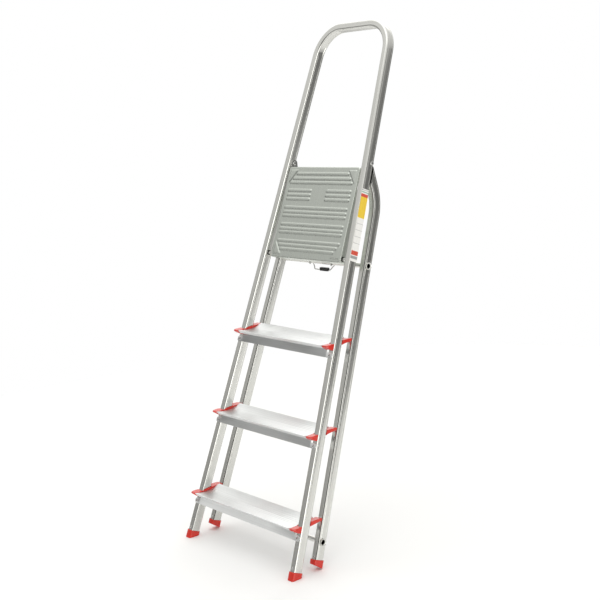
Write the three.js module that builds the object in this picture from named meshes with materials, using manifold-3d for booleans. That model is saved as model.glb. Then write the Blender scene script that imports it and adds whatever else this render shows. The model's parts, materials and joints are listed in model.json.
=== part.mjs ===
// A folding household step ladder in aluminium: a front frame with three treads and a high handrail,
// a rear frame hinged behind it, and a platform that folds up between the front stiles.
// Millimetres, +Z up. The ladder stands folded on its four feet with its treads level.
// X runs across the ladder, +Y runs from the front to the back, and the origin is the middle of
// the floor rectangle that the folded ladder covers.
//
// Most pieces are drawn in the stile frame: Z along the front stiles, Y = 0 on their front faces and
// Z = 0 at the front edge of the front soles. Turning that frame back by LEAN levels the treads.

import * as THREE from 'three';
import { mergeVertices } from 'three/addons/utils/BufferGeometryUtils.js';
import Module from 'manifold-3d';

const wasm = await Module();
wasm.setup();

// ---- driving dimensions ----

const LEAN = THREE.MathUtils.degToRad(22); // the stiles lean back by this when the treads are level
const GAP = 0.35; // air between pieces that touch on the real ladder

const TUBE = { width: 20, depth: 28, corner: 5, wall: 1.4 }; // the flat oval tube of both frames
const FRONT = { halfWidth: 244.2, taper: 0.061, top: 1525, bendRadius: 95, tubeStart: 17 };
const REAR = { halfWidth: 244.2, taper: 0.061, offset: 66.8, tubeSole: 13 };
const REAR_TILT = THREE.MathUtils.degToRad(0.69); // the rear frame leans forward by this when folded
const LEG_BEND = { start: 987, radius: 140, angle: THREE.MathUtils.degToRad(31.5), end: 80 };
const LEG_REST = 1.6; // air between a folded rear leg's slanted end and the back of the stile
const HOOP_STEPS = 8; // facets in each bend of the front hoop
const LEG_STEPS = 6; // facets in the bend of a rear leg

const TREAD = { first: 127, pitch: 240, count: 3, front: -22, back: 62, skin: 2, endGap: 3.4 };
const APRON = { bottom: -24, tab: -9.5, top: -1.5, thickness: 2, halfWidth: 236 };
const CAP_WEB = 2.6; // thickness of an end cap along the stile's inner face
const CAP_PLAN = { tip: -26, shoulder: -18, chamfer: 4.5, back: 90, reach: 100 }; // its top view

const FOOT = { wall: 2.5, height: 24, plug: 26, frontRivet: 32, rearRivet: 7 };
const OPEN_ANGLE = THREE.MathUtils.degToRad(35.85); // the rear frame's swing from folded to open

const HINGE = { y: 20, z: 1118, pin: 3.4, head: 5.5, headLength: 1.6 }; // where the rear frame turns
const BRACKET = { thickness: 2.2, eye: 11, end: 10, rivets: [1078, 1036] };
const PIVOT = { y: 14, z: 850, bolt: 3, head: 6, headLength: 2.2, spacer: 5 }; // where the platform turns
const WASHER = { radius: 7, thickness: 1.2 };
const DECK = { halfWidth: 150.5, bottom: 838, top: 1104, face: 5, skin: 1.5, flange: 20, rearFlange: 12 };
const NOTCH = { slopeFrom: 1014, from: 1044, to: 1090, lip: 5.5 }; // where the deck rests on the upper tube

const CROSS = { radius: 7, wall: 1.2, flare: 10, lowerZ: 109, upperZ: 847.6 };
const BAIL = { wire: 1.6, eye: 9.2, topX: 46, bottomX: 32, drop: 23 };
const BLOCK = { length: 32, size: 10, centre: 10 };

const RIVET = { head: 4.2, dome: 1.4, shank: 2, length: 5 };
const LABEL = { from: 848, to: 1046, width: 24, thickness: 0.4 };

// ---- finishes ----

const finish = (color, roughness, metalness) =>
  new THREE.MeshStandardMaterial({ color, roughness, metalness });
const ALUMINIUM = finish(0xb9b9b4, 0.35, 1);
const TREAD_METAL = finish(0xd8dadb, 0.45, 1);
const DECK_METAL = finish(0xacb0a8, 0.5, 1);
const STEEL = finish(0x8f8f8c, 0.4, 1);
const RED = finish(0xd23a2a, 0.3, 0);
const BLACK = finish(0x1c1c1c, 0.5, 0);
const PAPER = finish(0xf2f0e8, 0.6, 0);

// ---- solids: three.js geometry in, manifold booleans, three.js geometry out ----

function toSolid(geometry) {
  const bare = geometry.clone();
  bare.deleteAttribute('normal');
  bare.deleteAttribute('uv');
  const merged = mergeVertices(bare, 1e-4);
  return new wasm.Manifold(
    new wasm.Mesh({
      numProp: 3,
      vertProperties: new Float32Array(merged.attributes.position.array),
      triVerts: new Uint32Array(merged.index.array),
    }),
  );
}

function toGeometry(solid) {
  const mesh = solid.getMesh();
  const geometry = new THREE.BufferGeometry();
  geometry.setAttribute('position', new THREE.BufferAttribute(mesh.vertProperties, 3));
  geometry.setIndex(new THREE.BufferAttribute(mesh.triVerts, 1));
  return geometry;
}

const cut = (solid, ...tools) => tools.reduce((rest, tool) => rest.subtract(toSolid(tool)), solid);
const join = (...geometries) => geometries.map(toSolid).reduce((all, next) => all.add(next));

// Mirrors a solid across the ladder's middle plane.
function mirrored(geometry) {
  const copy = geometry.clone().scale(-1, 1, 1);
  const index = copy.index.array;
  for (let i = 0; i < index.length; i += 3) {
    [index[i + 1], index[i + 2]] = [index[i + 2], index[i + 1]];
  }
  return copy;
}

// ---- shapes ----

const X = new THREE.Vector3(1, 0, 0);
const Y = new THREE.Vector3(0, 1, 0);
const Z = new THREE.Vector3(0, 0, 1);

// A box between two corners.
function boxBetween([x0, y0, z0], [x1, y1, z1]) {
  const box = new THREE.BoxGeometry(x1 - x0, y1 - y0, z1 - z0);
  return box.translate((x0 + x1) / 2, (y0 + y1) / 2, (z0 + z1) / 2);
}

// An outline drawn in the YZ plane, extruded across X.
function acrossX(shape, x0, x1, curveSegments = 5) {
  const options = { depth: x1 - x0, bevelEnabled: false, curveSegments };
  const geometry = new THREE.ExtrudeGeometry(shape, options);
  return geometry.applyMatrix4(new THREE.Matrix4().makeBasis(Y, Z, X)).translate(x0, 0, 0);
}

// A closed (radius, height) profile turned about Y, then laid along X.
function turnedX(profile, segments = 16) {
  const points = profile.map(([radius, height]) => new THREE.Vector2(radius, height));
  return new THREE.LatheGeometry(points, segments).rotateZ(-Math.PI / 2);
}

function rodX(radius, x0, x1, y, z) {
  const rod = new THREE.CylinderGeometry(radius, radius, x1 - x0, 12).rotateZ(-Math.PI / 2);
  return rod.translate((x0 + x1) / 2, y, z);
}

function rodY(radius, y0, y1, x, z) {
  const rod = new THREE.CylinderGeometry(radius, radius, y1 - y0, 10);
  return rod.translate(x, (y0 + y1) / 2, z);
}

const polygon = (points) => new THREE.Shape(points.map(([a, b]) => new THREE.Vector2(a, b)));

function roundedRect(width, height, radius, Kind = THREE.Shape) {
  const x = width / 2 - radius;
  const y = height / 2 - radius;
  const outline = new Kind();
  outline.absarc(x, y, radius, 0, Math.PI / 2);
  outline.absarc(-x, y, radius, Math.PI / 2, Math.PI);
  outline.absarc(-x, -y, radius, Math.PI, 1.5 * Math.PI);
  outline.absarc(x, -y, radius, 1.5 * Math.PI, 2 * Math.PI);
  outline.closePath();
  return outline;
}

// A path through stations of its own, so that straight stretches need no steps.
class StationPath extends THREE.Curve {
  constructor(stations) {
    super();
    this.stations = stations;
  }

  getPointAt(u) {
    return this.stations[Math.round(u * (this.stations.length - 1))].clone();
  }

  getTangentAt(u) {
    const last = this.stations.length - 1;
    const i = Math.round(u * last);
    const before = this.stations[Math.max(i - 1, 0)];
    const after = this.stations[Math.min(i + 1, last)];
    return after.clone().sub(before).normalize();
  }
}

function sweep(section, stations, curveSegments) {
  const options = { steps: stations.length - 1, extrudePath: new StationPath(stations), curveSegments };
  return new THREE.ExtrudeGeometry(section, options);
}

// ---- the tubes of the two frames ----

const slantOf = (frame) => Math.atan(frame.taper);
const outerX = (frame, z) => frame.halfWidth - frame.taper * z;
const middleX = (frame, z) => outerX(frame, z) - TUBE.width / 2;
const innerX = (frame, z) => outerX(frame, z) - TUBE.width;

// Takes a piece drawn about an upright centre line to a frame's right-hand side, slanted as that is.
function onRightSide(geometry, frame) {
  const place = new THREE.Matrix4().makeRotationY(-slantOf(frame));
  place.setPosition(middleX(frame, 0), 0, 0);
  return geometry.clone().applyMatrix4(place);
}

function tubeSection() {
  const bore = { width: TUBE.depth - 2 * TUBE.wall, height: TUBE.width - 2 * TUBE.wall };
  const section = roundedRect(TUBE.depth, TUBE.width, TUBE.corner);
  section.holes.push(roundedRect(bore.width, bore.height, TUBE.corner - TUBE.wall, THREE.Path));
  return section;
}

// Centre line of the front hoop in the XZ plane: up the left leg, round two bends, down the right leg.
function hoopStations() {
  const slant = slantOf(FRONT);
  const radius = FRONT.bendRadius - TUBE.width / 2;
  const topLine = FRONT.top - TUBE.width / 2;
  const straight = (topLine - radius + radius * Math.sin(slant)) / Math.cos(slant);
  const centreX = middleX(FRONT, 0) - straight * Math.sin(slant) - radius * Math.cos(slant);
  const y = TUBE.depth / 2;
  const rightSide = [new THREE.Vector3(middleX(FRONT, FRONT.tubeStart), y, FRONT.tubeStart)];
  for (let i = 0; i <= HOOP_STEPS; i += 1) {
    const angle = slant + ((Math.PI / 2 - slant) * i) / HOOP_STEPS;
    const x = centreX + radius * Math.cos(angle);
    const z = topLine - radius + radius * Math.sin(angle);
    rightSide.push(new THREE.Vector3(x, y, z));
  }
  const leftSide = rightSide.map((p) => new THREE.Vector3(-p.x, p.y, p.z));
  return [...leftSide, ...rightSide.reverse()];
}

const treadHeight = (i) => TREAD.first + TREAD.pitch * i;
const apronRivetHeight = (i) => treadHeight(i) + (APRON.bottom + APRON.tab) / 2;

const HOLE = RIVET.shank + GAP;
const rivetHole = (x, z) => rodY(HOLE, -3, TUBE.wall + 2, x, z);

function frontHoop() {
  const reach = innerX(FRONT, PIVOT.z) + TUBE.width / 2;
  const tools = [
    rodX(HINGE.pin + GAP, -FRONT.halfWidth, FRONT.halfWidth, HINGE.y, HINGE.z),
    rodX(PIVOT.bolt + GAP, -reach, reach, PIVOT.y, PIVOT.z),
  ];
  for (const side of [-1, 1]) {
    for (let i = 0; i < TREAD.count; i += 1) {
      const z = apronRivetHeight(i);
      tools.push(rivetHole(side * middleX(FRONT, z), z));
    }
    tools.push(rivetHole(side * middleX(FRONT, FOOT.frontRivet), FOOT.frontRivet));
  }
  return toGeometry(cut(toSolid(sweep(tubeSection(), hoopStations(), 2)), ...tools));
}

// ---- treads and their end caps ----

// A point given level and upright from where a tread's height meets the stiles' front faces.
function level(back, up) {
  const y = back * Math.cos(LEAN) - up * Math.sin(LEAN);
  const z = back * Math.sin(LEAN) + up * Math.cos(LEAN);
  return new THREE.Vector2(y, z);
}

const addLine = (outline, back, up) => outline.lineTo(...level(back, up).toArray());

function addCurve(outline, [controlBack, controlUp], [back, up]) {
  outline.quadraticCurveTo(...level(controlBack, controlUp).toArray(), ...level(back, up).toArray());
}

// An open channel: dished top, a nosing that overhangs the front apron, and a short rear flange.
function treadOutline() {
  const { front, back, skin } = TREAD;
  const apronBack = -GAP;
  const apronFront = apronBack - APRON.thickness;
  const outline = new THREE.Shape();
  outline.moveTo(apronFront, APRON.bottom);
  outline.lineTo(apronFront, APRON.top);
  addLine(outline, front + 7.5, 3.6);
  addLine(outline, front + 6, 4.6);
  addLine(outline, front - 0.6, 12.4);
  addLine(outline, front, 13.8);
  addCurve(outline, [22, 3.5], [back, 20]);
  addLine(outline, back, 9);
  addLine(outline, back - skin, 9);
  addLine(outline, back - skin, 17.2);
  addCurve(outline, [22, 1.5], [front + 3, 11.1]);
  addLine(outline, front + 7.7, 5.7);
  outline.lineTo(apronBack, APRON.top + skin);
  outline.lineTo(apronBack, APRON.bottom);
  outline.closePath();
  return outline;
}

// A wedge of space between two planes parallel to the stiles' inner faces.
function betweenStiles(z, clearance) {
  const reach = 60;
  const low = innerX(FRONT, z - reach) - clearance;
  const high = innerX(FRONT, z + reach) - clearance;
  const outline = polygon([[-low, -reach], [low, -reach], [high, reach], [-high, reach]]);
  const geometry = new THREE.ExtrudeGeometry(outline, { depth: 240, bevelEnabled: false });
  return geometry.rotateX(Math.PI / 2).translate(0, 120, 0);
}

function tread(i) {
  const z = treadHeight(i);
  const bar = toSolid(acrossX(treadOutline(), -FRONT.halfWidth, FRONT.halfWidth));
  const body = bar.intersect(toSolid(betweenStiles(z, TREAD.endGap)));
  const half = APRON.halfWidth - FRONT.taper * TREAD.pitch * i;
  const strip = boxBetween([-half, -GAP - APRON.thickness, APRON.bottom], [half, -GAP, APRON.tab]);
  const solid = body.add(toSolid(strip));
  const rivetZ = apronRivetHeight(i);
  const holes = [-1, 1].map((side) => rodY(HOLE, -5, 5, side * middleX(FRONT, rivetZ), rivetZ - z));
  return toGeometry(cut(solid, ...holes));
}

// How far back, level, an end cap's arm reaches at a height to meet the folded rear leg.
function capReach(i, up) {
  const armTop = 55;
  const legFace = REAR.offset - Math.tan(REAR_TILT) * (treadHeight(i) + armTop);
  return (legFace - 2 * GAP + up * Math.sin(LEAN)) / Math.cos(LEAN);
}

// Side view of an end cap: a nose ahead of the stile, a raised lip along the tread's end, and an arm
// behind the stile that stops the rear leg.
function capOutline(i) {
  const outline = new THREE.Shape();
  outline.moveTo(...level(-3, -1.2).toArray());
  addCurve(outline, [-11, -0.8], [-21.4, 8.8]);
  addLine(outline, -22.6, 10.6);
  addLine(outline, -22, 13.4);
  addCurve(outline, [-8, 14], [5, 13.6]);
  addCurve(outline, [13, 17], [30, 17.6]);
  addCurve(outline, [46, 18.6], [capReach(i, 17) - 2, 16.8]);
  addLine(outline, capReach(i, 15), 15);
  addLine(outline, capReach(i, 10), 10);
  addCurve(outline, [50, 8.4], [34, 6.6]);
  addLine(outline, 29.5, -1.2);
  outline.closePath();
  return outline;
}

// Drawn beside a right-hand stile that stands upright: x from -10 to 10, y from 0 to 28.
function endCap(i) {
  const half = TUBE.width / 2;
  const web = -half - GAP - CAP_WEB;
  const outside = half + 0.5;
  const { tip, shoulder, chamfer, back, reach } = CAP_PLAN;
  const plan = polygon([
    [web, back], [web, shoulder], [web + chamfer, tip],
    [outside - chamfer, tip], [outside, shoulder], [outside, back],
  ]);
  const column = new THREE.ExtrudeGeometry(plan, { depth: 2 * reach, bevelEnabled: false });
  const body = toSolid(acrossX(capOutline(i), web, outside));
  const stile = boxBetween([-half - GAP, -GAP, -reach], [half + 5, TUBE.depth + GAP, reach]);
  return toGeometry(cut(body.intersect(toSolid(column.translate(0, 0, -reach))), stile));
}

// ---- feet ----

// A rounded bar that stands upright about a leg's centre line.
function upright(section, from, to) {
  const options = { depth: to - from, bevelEnabled: false, curveSegments: 4 };
  const geometry = new THREE.ExtrudeGeometry(section, options);
  return geometry.rotateZ(Math.PI / 2).translate(0, TUBE.depth / 2, from);
}

// The tube's section grown by an amount all round.
const grownTube = (by) => roundedRect(TUBE.depth + 2 * by, TUBE.width + 2 * by, TUBE.corner + by);

// A cup round the end of a leg with a plug inside it, left long at the bottom.
function footBlank(tubeStart, top) {
  const cup = toSolid(upright(grownTube(FOOT.wall), top - 60, top));
  const pocket = upright(grownTube(GAP), tubeStart - GAP, top + 5);
  const plug = upright(grownTube(-TUBE.wall - GAP), tubeStart - 2, tubeStart + FOOT.plug);
  return toGeometry(cut(cup, pocket).add(toSolid(plug)));
}

// The right-hand foot of a frame, in that frame, cut off at its sole.
function foot(frame, tubeStart, top, rivetZ, sole) {
  const below = new THREE.BoxGeometry(200, 400, 200).translate(0, 0, -100);
  below.rotateX(sole.angle).translate(middleX(frame, 0), sole.y, sole.z);
  const hole = rodY(HOLE, -10, RIVET.length + 2, middleX(frame, rivetZ), rivetZ);
  return toGeometry(cut(toSolid(onRightSide(footBlank(tubeStart, top), frame)), below, hole));
}

const FRONT_SOLE = { angle: LEAN, y: -FOOT.wall, z: 0 };

// Height along the rear leg at which its rear edge meets the folded ladder's floor plane.
function rearSoleHeight() {
  const rearEdge = TUBE.depth + FOOT.wall;
  const y = REAR.offset + rearEdge * Math.cos(REAR_TILT);
  const z = rearEdge * Math.sin(REAR_TILT);
  const floor = FOOT.wall * Math.sin(LEAN);
  return (floor + y * Math.sin(LEAN) - z * Math.cos(LEAN)) / Math.cos(LEAN - REAR_TILT);
}

// The rear soles lie flat when the ladder is open. Folded, their rear edges touch the floor.
const REAR_SOLE = { angle: LEAN - REAR_TILT - OPEN_ANGLE, y: TUBE.depth + FOOT.wall, z: rearSoleHeight() };
const REAR_TUBE_START = REAR_SOLE.z + REAR.tubeSole;
const REAR_FOOT_TOP = REAR_SOLE.z + FOOT.height - 2;
const REAR_RIVET_Z = REAR_FOOT_TOP + FOOT.rearRivet;

// ---- fasteners ----

// A dome-headed rivet on the y = 0 plane, its head towards -Y.
function rivet() {
  const { head, dome, shank, length } = RIVET;
  const domeTop = [[0, 0], [head * 0.55, 0.2], [head, dome * 0.7], [head, dome]];
  const profile = [...domeTop, [shank, dome], [shank, length], [0, length]];
  const points = profile.map(([radius, height]) => new THREE.Vector2(radius, height));
  return new THREE.LatheGeometry(points, 10).translate(0, -dome, 0);
}

// A headed pin along X from x0 to x1, with a head outside each end.
function headedPin(radius, head, headLength, x0, x1) {
  return turnedX([
    [0, x0 - headLength],
    [head * 0.8, x0 - headLength],
    [head, x0 - headLength * 0.6],
    [head, x0],
    [radius, x0],
    [radius, x1],
    [head, x1],
    [head, x1 + headLength * 0.6],
    [head * 0.8, x1 + headLength],
    [0, x1 + headLength],
  ]);
}

// A ring along X from x0 to x1.
const ring = (inner, outer, x0, x1) =>
  turnedX([[inner, x0], [outer, x0], [outer, x1], [inner, x1], [inner, x0]]);

// ---- platform ----

// Side flange of the deck: deep beside the pivot, a low lip where the open deck rests on the tube.
function deckFlange() {
  const { bottom, top, face, flange, rearFlange } = DECK;
  const lip = face + NOTCH.lip;
  return polygon([
    [face, bottom],
    [face + flange, bottom],
    [face + flange, NOTCH.slopeFrom],
    [lip, NOTCH.from],
    [lip, NOTCH.to],
    [face + rearFlange, NOTCH.to],
    [face + rearFlange, top],
    [face, top],
  ]);
}

// A shallow pressed tray, its top face forward when folded, with the flanges behind it.
function deck() {
  const { halfWidth: w, bottom, top, face, skin, flange, rearFlange } = DECK;
  const tray = join(
    boxBetween([-w, face, bottom], [w, face + skin, top]),
    boxBetween([-w, face, bottom], [w, face + flange, bottom + skin]),
    boxBetween([-w, face, top - skin], [w, face + rearFlange, top]),
    acrossX(deckFlange(), -w, -w + skin),
    acrossX(deckFlange(), w - skin, w),
  );
  return toGeometry(cut(tray, rodX(PIVOT.bolt + GAP, -w - 5, w + 5, PIVOT.y, PIVOT.z)));
}

// ---- rear frame pieces ----

// A point on a rear leg's centre line, a distance up the leg, in the leg's own upright plane.
function legLine(distance) {
  const { start, radius, angle } = LEG_BEND;
  const turned = THREE.MathUtils.clamp((distance - start) / radius, 0, angle);
  const straight = distance - start - radius * turned;
  const y = TUBE.depth / 2 - radius * (1 - Math.cos(turned)) - straight * Math.sin(turned);
  const z = start + radius * Math.sin(turned) + straight * Math.cos(turned);
  return new THREE.Vector3(0, y, z);
}

// The right-hand rear leg: straight, then bent forward and cut off along the back of the stile.
function rearLeg() {
  const { start, radius, angle, end } = LEG_BEND;
  const stations = [legLine(REAR_TUBE_START)];
  for (let i = 0; i <= LEG_STEPS; i += 1) {
    stations.push(legLine(start + (radius * angle * i) / LEG_STEPS));
  }
  stations.push(legLine(start + radius * angle + end));
  const inner = -TUBE.width / 2;
  const bracketHoles = BRACKET.rivets.map(legLine).map(({ y, z }) => rodX(HOLE, inner - 3, inner + 3, y, z));
  const crossHole = (z) => rodX(CROSS.radius + GAP, 100, 300, TUBE.depth / 2, z);
  const stile = boxBetween([100, -100, start], [300, TUBE.depth + LEG_REST, HINGE.z + 100]);
  stile.translate(0, -REAR.offset, 0).rotateX(-REAR_TILT);
  const tools = [
    ...bracketHoles.map((hole) => onRightSide(hole, REAR)),
    crossHole(CROSS.lowerZ),
    crossHole(CROSS.upperZ),
    rivetHole(middleX(REAR, REAR_RIVET_Z), REAR_RIVET_Z),
    stile,
  ];
  return toGeometry(cut(toSolid(onRightSide(sweep(tubeSection(), stations, 2), REAR)), ...tools));
}

// A tube through both rear legs, its ends flared over their outer faces.
function crossTube(z) {
  const end = outerX(REAR, z) + 1.2;
  const { radius, wall, flare } = CROSS;
  const bore = radius - wall;
  return turnedX([
    [bore, -end],
    [flare - wall, -end - 3],
    [flare, -end - 2.4],
    [radius, -end],
    [radius, end],
    [flare, end + 2.4],
    [flare - wall, end + 3],
    [bore, end],
    [bore, -end],
  ]);
}

// The hinge axis as the rear frame sees it.
const HINGE_ON_REAR = new THREE.Vector3(0, HINGE.y - REAR.offset, HINGE.z).applyAxisAngle(X, -REAR_TILT);

// The right-hand hinge plate: an eye beside the front stile, a tail riveted to the rear leg.
function bracket() {
  const { thickness, eye, end, rivets } = BRACKET;
  const axis = { y: HINGE_ON_REAR.y, z: HINGE_ON_REAR.z / Math.cos(slantOf(REAR)) };
  const points = rivets.map(legLine);
  const last = points[points.length - 1];
  const along = Math.atan2(last.z - axis.z, last.y - axis.y);
  const outline = new THREE.Shape();
  outline.absarc(axis.y, axis.z, eye, along + Math.PI / 2, along + 1.5 * Math.PI);
  outline.absarc(last.y, last.z, end, along - Math.PI / 2, along + Math.PI / 2);
  outline.closePath();
  const outer = -TUBE.width / 2 - GAP;
  const plate = onRightSide(acrossX(outline, outer - thickness, outer, 12), REAR);
  const pinHole = rodX(HINGE.pin + GAP, 100, 200, HINGE_ON_REAR.y, HINGE_ON_REAR.z);
  const rivetHoles = points.map(({ y, z }) => onRightSide(rodX(HOLE, outer - 5, outer + 5, y, z), REAR));
  return toGeometry(cut(toSolid(plate), pinHole, ...rivetHoles));
}

// A rivet through the right-hand hinge plate into its rear leg.
function bracketRivet(distance) {
  const { y, z } = legLine(distance);
  const underHead = -TUBE.width / 2 - BRACKET.thickness - 2 * GAP;
  return onRightSide(rivet().rotateZ(-Math.PI / 2).translate(underHead, y, z), REAR);
}

// ---- catch on the upper cross tube ----

// A wire yoke whose open eyes ride on the tube, drawn about the tube's axis.
function bail() {
  const side = [];
  for (let degrees = -70; degrees <= 200; degrees += 30) {
    const angle = THREE.MathUtils.degToRad(degrees);
    side.push(new THREE.Vector3(BAIL.topX, -BAIL.eye * Math.cos(angle), BAIL.eye * Math.sin(angle)));
  }
  side.push(new THREE.Vector3(BAIL.topX - 1, BAIL.eye * 0.8, -BAIL.eye));
  side.push(new THREE.Vector3(BAIL.bottomX + 3, 2.5, -BAIL.drop + 3));
  side.push(new THREE.Vector3(BAIL.bottomX, 0, -BAIL.drop));
  const left = side.map((p) => new THREE.Vector3(-p.x, p.y, p.z));
  const section = new THREE.Shape().absarc(0, 0, BAIL.wire, 0, 2 * Math.PI);
  return sweep(section, [...left, ...side.reverse()], 8);
}

function catchBlock() {
  const { length, size, centre } = BLOCK;
  const outline = roundedRect(size, size, 2);
  const body = acrossX(outline, centre - length / 2, centre + length / 2, 3).translate(0, 0, -BAIL.drop + 2);
  const hole = rodX(BAIL.wire + GAP, centre - length, centre + length, 0, -BAIL.drop);
  return toGeometry(cut(toSolid(body), hole));
}

// ---- assembly ----

function piece(name, geometry, material) {
  const mesh = new THREE.Mesh(geometry, material);
  mesh.name = name;
  return mesh;
}

// Adds a right-hand piece and its mirror image.
function addPair(group, name, geometry, material) {
  const right = toGeometry(toSolid(geometry));
  group.add(piece(`${name}_right`, right, material));
  group.add(piece(`${name}_left`, mirrored(right), material));
}

// Adds a pair of rivets pressed into the front faces of a frame at height z.
function addFrontRivets(group, name, frame, y, z) {
  addPair(group, name, rivet().translate(middleX(frame, z), y - GAP, z), STEEL);
}

function addTreads(group) {
  for (let i = 0; i < TREAD.count; i += 1) {
    const height = treadHeight(i);
    const step = piece(`tread_${i + 1}`, tread(i), TREAD_METAL);
    step.position.z = height;
    group.add(step);
    const cap = endCap(i).translate(0, 0, height / Math.cos(slantOf(FRONT)));
    addPair(group, `tread_cap_${i + 1}`, onRightSide(cap, FRONT), RED);
    addFrontRivets(group, `tread_rivet_${i + 1}`, FRONT, -APRON.thickness - GAP, apronRivetHeight(i));
  }
}

// The bolts that the platform turns on, with a washer, a spacer and a washer between deck and stile.
function addPlatformPivots(group) {
  const { spacer, bolt, head, headLength } = PIVOT;
  const { radius, thickness } = WASHER;
  const bore = bolt + GAP;
  const insideStile = innerX(FRONT, PIVOT.z) + TUBE.wall + 3 * GAP;
  const stileSide = innerX(FRONT, PIVOT.z) - 2 * GAP;
  const deckSide = DECK.halfWidth + GAP;
  const insideDeck = DECK.halfWidth - DECK.skin - GAP;
  const place = (geometry) => geometry.translate(0, PIVOT.y, PIVOT.z);
  const shank = headedPin(bolt, head, headLength, insideDeck, insideStile);
  const innerWasher = ring(bore, radius, deckSide, deckSide + thickness);
  const tube = ring(bore, spacer, deckSide + thickness + GAP, stileSide - thickness - GAP);
  const outerWasher = ring(bore, radius, stileSide - thickness, stileSide);
  addPair(group, 'platform_bolt', place(shank), STEEL);
  addPair(group, 'platform_washer_inner', place(innerWasher), BLACK);
  addPair(group, 'platform_spacer', place(tube), ALUMINIUM);
  addPair(group, 'platform_washer_outer', place(outerWasher), BLACK);
}

function addHingePins(group) {
  const inner = innerX(FRONT, HINGE.z) - BRACKET.thickness - 3 * GAP;
  const outer = outerX(FRONT, HINGE.z) + 2 * GAP;
  const pin = headedPin(HINGE.pin, HINGE.head, HINGE.headLength, inner, outer);
  addPair(group, 'hinge_pin', pin.translate(0, HINGE.y, HINGE.z), STEEL);
}

function label() {
  const middle = (LABEL.from + LABEL.to) / 2;
  const film = new THREE.BoxGeometry(LABEL.thickness, LABEL.width, LABEL.to - LABEL.from);
  film.translate(TUBE.width / 2 + GAP + LABEL.thickness / 2, TUBE.depth / 2, middle);
  return piece('side_label', onRightSide(film, FRONT), PAPER);
}

function frontFrame() {
  const group = new THREE.Group();
  group.add(piece('front_hoop', frontHoop(), ALUMINIUM));
  addTreads(group);
  addPair(group, 'front_foot', foot(FRONT, FRONT.tubeStart, FOOT.height, FOOT.frontRivet, FRONT_SOLE), RED);
  addFrontRivets(group, 'front_foot_rivet', FRONT, 0, FOOT.frontRivet);
  addPlatformPivots(group);
  addHingePins(group);
  group.add(label());
  return group;
}

// The catch hangs straight down from the upper cross tube.
function catchGroup() {
  const group = new THREE.Group();
  group.add(piece('catch_bail', bail(), STEEL));
  group.add(piece('catch_block', catchBlock(), BLACK));
  group.position.set(0, TUBE.depth / 2, CROSS.upperZ);
  group.rotation.x = LEAN - REAR_TILT;
  return group;
}

function rearFrame() {
  const group = new THREE.Group();
  addPair(group, 'rear_leg', rearLeg(), ALUMINIUM);
  for (const [name, z] of [['lower', CROSS.lowerZ], ['upper', CROSS.upperZ]]) {
    const tube = piece(`${name}_cross_tube`, crossTube(z), ALUMINIUM);
    tube.position.set(0, TUBE.depth / 2, z);
    group.add(tube);
  }
  addPair(group, 'rear_foot', foot(REAR, REAR_TUBE_START, REAR_FOOT_TOP, REAR_RIVET_Z, REAR_SOLE), RED);
  addFrontRivets(group, 'rear_foot_rivet', REAR, 0, REAR_RIVET_Z);
  addPair(group, 'hinge_bracket', bracket(), STEEL);
  BRACKET.rivets.forEach((distance, i) => {
    addPair(group, `bracket_rivet_${i + 1}`, bracketRivet(distance), STEEL);
  });
  group.add(catchGroup());
  group.position.y = REAR.offset;
  group.rotation.x = REAR_TILT;
  return group;
}

const ladder = new THREE.Group();
ladder.add(frontFrame(), rearFrame(), piece('platform_deck', deck(), DECK_METAL));
ladder.rotation.x = -LEAN;

const group = new THREE.Group();
group.add(ladder);
group.updateMatrixWorld(true);
const extent = new THREE.Box3().setFromObject(group, true);
ladder.position.set(0, -(extent.min.y + extent.max.y) / 2, -extent.min.z);

export default group;
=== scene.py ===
"""A folding aluminium step ladder: the finished look around its CAD frame.

Shapes are drawn in millimetres in the stile frame, which the CAD model uses too: Z runs along the front
stiles, Y = 0 is their front face, Y runs back, and X = 0 is the ladder's middle plane. STILE, REAR and
CATCH take that frame, the rear frame's and the catch's to the row frame in metres.
"""

import json
import math

import bmesh
import bpy
from mathutils import Matrix, Quaternion, Vector

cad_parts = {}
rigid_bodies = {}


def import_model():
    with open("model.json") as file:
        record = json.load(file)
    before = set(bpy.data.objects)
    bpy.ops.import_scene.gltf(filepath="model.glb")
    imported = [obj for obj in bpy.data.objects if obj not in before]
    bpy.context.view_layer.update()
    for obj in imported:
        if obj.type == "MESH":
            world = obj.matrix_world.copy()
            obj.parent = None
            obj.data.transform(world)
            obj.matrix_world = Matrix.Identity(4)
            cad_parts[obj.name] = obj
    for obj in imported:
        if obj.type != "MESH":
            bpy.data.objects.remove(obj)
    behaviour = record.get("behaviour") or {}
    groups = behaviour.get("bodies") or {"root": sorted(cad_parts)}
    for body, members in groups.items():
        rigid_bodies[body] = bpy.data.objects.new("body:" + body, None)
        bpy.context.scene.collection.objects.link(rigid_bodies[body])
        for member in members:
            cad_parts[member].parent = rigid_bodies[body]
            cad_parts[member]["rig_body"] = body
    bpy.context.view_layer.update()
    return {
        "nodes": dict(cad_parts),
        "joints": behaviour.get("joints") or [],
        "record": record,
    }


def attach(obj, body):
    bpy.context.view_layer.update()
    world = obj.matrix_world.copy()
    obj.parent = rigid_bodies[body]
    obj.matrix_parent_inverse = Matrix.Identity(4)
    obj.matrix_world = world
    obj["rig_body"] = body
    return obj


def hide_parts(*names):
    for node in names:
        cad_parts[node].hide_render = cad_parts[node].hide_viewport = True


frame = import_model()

# ---- sizes, in millimetres ----

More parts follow.
